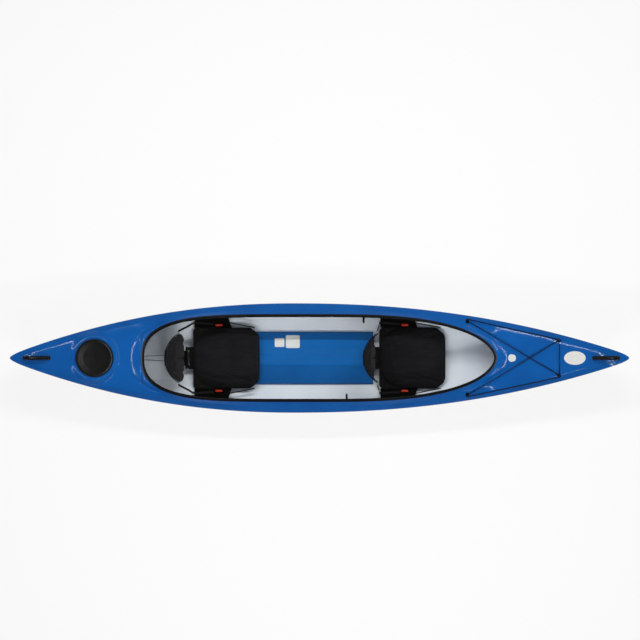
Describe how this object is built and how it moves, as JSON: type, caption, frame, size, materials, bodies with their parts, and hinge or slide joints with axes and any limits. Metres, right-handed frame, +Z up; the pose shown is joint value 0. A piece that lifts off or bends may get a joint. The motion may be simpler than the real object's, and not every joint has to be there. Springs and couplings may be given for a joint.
{
  "type": "tandem kayak",
  "caption": "Open-cockpit recreational tandem kayak with cream hull, blue deck, padded folding seats, sliding foot braces, stern hatch and carry handles",
  "frame": {"origin": "middle of the boat's length on its centreline, at the bottom of the keel", "axes": "+X to the bow, +Y to port, +Z up"},
  "size_m": [4.267, 0.754, 0.4853],
  "materials": {
    "hull_cream": "smooth moulded sheet, gloss",
    "deck_blue": "smooth moulded sheet, high gloss",
    "floor_blue": "ribbed moulded sheet",
    "black_plastic": "moulded, fine grain",
    "black_rubber": "soft black extrusion",
    "black_fabric": "woven nylon over foam",
    "black_cord": "braided cord",
    "grey_foam": "closed cell foam",
    "steel": "stainless hardware",
    "red_lever": "moulded"
  },
  "bodies": {
    "hull": {"hull_shell": "hull_cream", "deck_shell": "deck_blue", "cockpit_trim": "black_rubber", "floor_panel": "floor_blue", "stern_bulkhead": "grey_foam", "bow_flotation": "grey_foam", "hatch_ring": "deck_blue", "deck_fittings": "black_plastic", "deck_fitting_screws": "steel", "deck_bungee": "black_cord", "rear_seat_frame": "black_plastic", "front_seat_frame": "black_plastic", "rear_seat_cushion": "black_fabric", "front_seat_cushion": "black_fabric", "seat_screws": "steel", "rear_hinge_pin": "steel", "front_hinge_pin": "steel", "rear_backrest_straps": "black_fabric", "front_backrest_straps": "black_fabric", "rear_backrest_cords": "black_cord", "rear_leg_straps": "black_fabric", "front_leg_straps": "black_fabric", "rear_port_buckle": "black_plastic", "rear_starboard_buckle": "black_plastic", "front_port_buckle": "black_plastic", "front_starboard_buckle": "black_plastic", "hull_bolts": "steel", "hull_nuts": "steel", "rear_port_rail": "black_plastic", "rear_starboard_rail": "black_plastic", "front_port_rail": "black_plastic", "front_starboard_rail": "black_plastic", "stern_handle_anchors": "black_plastic", "bow_handle_anchors": "black_plastic", "handle_screws": "steel"},
    "hatch_cover": {"hatch_cover": "black_rubber"},
    "rear_backrest": {"rear_backrest_frame": "black_plastic", "rear_backrest_pad": "black_fabric"},
    "front_backrest": {"front_backrest_frame": "black_plastic", "front_backrest_pad": "black_fabric"},
    "stern_handle": {"stern_handle_cord": "black_cord", "stern_handle_grip": "black_plastic"},
    "bow_handle": {"bow_handle_cord": "black_cord", "bow_handle_grip": "black_plastic"},
    "rear_port_pedal": {"rear_port_pedal": "black_plastic"},
    "rear_port_lock_lever": {"rear_port_lock_lever": "black_plastic"},
    "rear_port_buckle_lever": {"rear_port_buckle_lever": "red_lever"},
    "rear_starboard_pedal": {"rear_starboard_pedal": "black_plastic"},
    "rear_starboard_lock_lever": {"rear_starboard_lock_lever": "black_plastic"},
    "rear_starboard_buckle_lever": {"rear_starboard_buckle_lever": "red_lever"},
    "front_port_pedal": {"front_port_pedal": "black_plastic"},
    "front_port_lock_lever": {"front_port_lock_lever": "black_plastic"},
    "front_port_buckle_lever": {"front_port_buckle_lever": "red_lever"},
    "front_starboard_pedal": {"front_starboard_pedal": "black_plastic"},
    "front_starboard_lock_lever": {"front_starboard_lock_lever": "black_plastic"},
    "front_starboard_buckle_lever": {"front_starboard_buckle_lever": "red_lever"}
  },
  "joints": [
    {"name": "hatch_lift", "type": "slide", "parent": "hull", "child": "hatch_cover", "axis": [0.0471, 0, 0.9989], "range_m": [0, 0.12]},
    {"name": "rear_backrest_hinge", "type": "hinge", "parent": "hull", "child": "rear_backrest", "pos_m": [-0.91314, 0, 0.09], "axis": [0, 1, 0], "range_deg": [-15, 60], "deforming": ["rear_backrest_straps", "rear_backrest_cords"]},
    {"name": "front_backrest_hinge", "type": "hinge", "parent": "hull", "child": "front_backrest", "pos_m": [0.36696, 0, 0.09], "axis": [0, 1, 0], "range_deg": [-18, 30], "deforming": ["front_backrest_straps"]},
    {"name": "rear_port_pedal_slide", "type": "slide", "parent": "hull", "child": "rear_port_pedal", "axis": [0.9991, -0.0414, 0.0001], "range_m": [-0.267, 0.069]},
    {"name": "rear_port_lock_lever_pivot", "type": "hinge", "parent": "rear_port_pedal", "child": "rear_port_lock_lever", "pos_m": [0.27128, 0.31869, 0.16955], "axis": [0.0111, 0.2701, 0.9628], "range_deg": [0, 18], "stiffness_Nm_per_rad": 0.3},
    {"name": "rear_starboard_pedal_slide", "type": "slide", "parent": "hull", "child": "rear_starboard_pedal", "axis": [0.9991, 0.0414, 0.0001], "range_m": [-0.15, 0.186]},
    {"name": "rear_starboard_lock_lever_pivot", "type": "hinge", "parent": "rear_starboard_pedal", "child": "rear_starboard_lock_lever", "pos_m": [0.15438, -0.32353, 0.16954], "axis": [-0.0111, 0.2701, -0.9628], "range_deg": [0, 18], "stiffness_Nm_per_rad": 0.3},
    {"name": "front_port_pedal_slide", "type": "slide", "parent": "hull", "child": "front_port_pedal", "axis": [0.959, -0.2345, 0.159], "range_m": [-0.102, 0.139]},
    {"name": "front_port_lock_lever_pivot", "type": "hinge", "parent": "front_port_pedal", "child": "front_port_lock_lever", "pos_m": [1.55114, 0.13505, 0.26181], "axis": [-0.0879, 0.2873, 0.9538], "range_deg": [0, 18], "stiffness_Nm_per_rad": 0.3},
    {"name": "front_starboard_pedal_slide", "type": "slide", "parent": "hull", "child": "front_starboard_pedal", "axis": [0.959, 0.2345, 0.159], "range_m": [-0.102, 0.139]},
    {"name": "front_starboard_lock_lever_pivot", "type": "hinge", "parent": "front_starboard_pedal", "child": "front_starboard_lock_lever", "pos_m": [1.55114, -0.13505, 0.26181], "axis": [0.0879, 0.2873, -0.9538], "range_deg": [0, 18], "stiffness_Nm_per_rad": 0.3},
    {"name": "rear_port_buckle_lever_pivot", "type": "hinge", "parent": "hull", "child": "rear_port_buckle_lever", "pos_m": [-0.71214, 0.22862, 0.11659], "axis": [0, -0.6046, -0.7965], "range_deg": [0, 70]},
    {"name": "rear_starboard_buckle_lever_pivot", "type": "hinge", "parent": "hull", "child": "rear_starboard_buckle_lever", "pos_m": [-0.71214, -0.22862, 0.11659], "axis": [0, -0.6046, 0.7965], "range_deg": [0, 70]},
    {"name": "front_port_buckle_lever_pivot", "type": "hinge", "parent": "hull", "child": "front_port_buckle_lever", "pos_m": [0.56796, 0.22862, 0.11659], "axis": [0, -0.6046, -0.7965], "range_deg": [0, 70]},
    {"name": "front_starboard_buckle_lever_pivot", "type": "hinge", "parent": "hull", "child": "front_starboard_buckle_lever", "pos_m": [0.56796, -0.22862, 0.11659], "axis": [0, -0.6046, 0.7965], "range_deg": [0, 70]},
    {"name": "stern_handle_swing", "type": "hinge", "parent": "hull", "child": "stern_handle", "pos_m": [-2.02689, 0, 0.4505], "axis": [0.9963, 0, -0.0856], "range_deg": [-70, 70]},
    {"name": "bow_handle_swing", "type": "hinge", "parent": "hull", "child": "bow_handle", "pos_m": [2.05206, 0, 0.44949], "axis": [0.9938, 0, 0.1108], "range_deg": [-70, 70]}
  ]
}
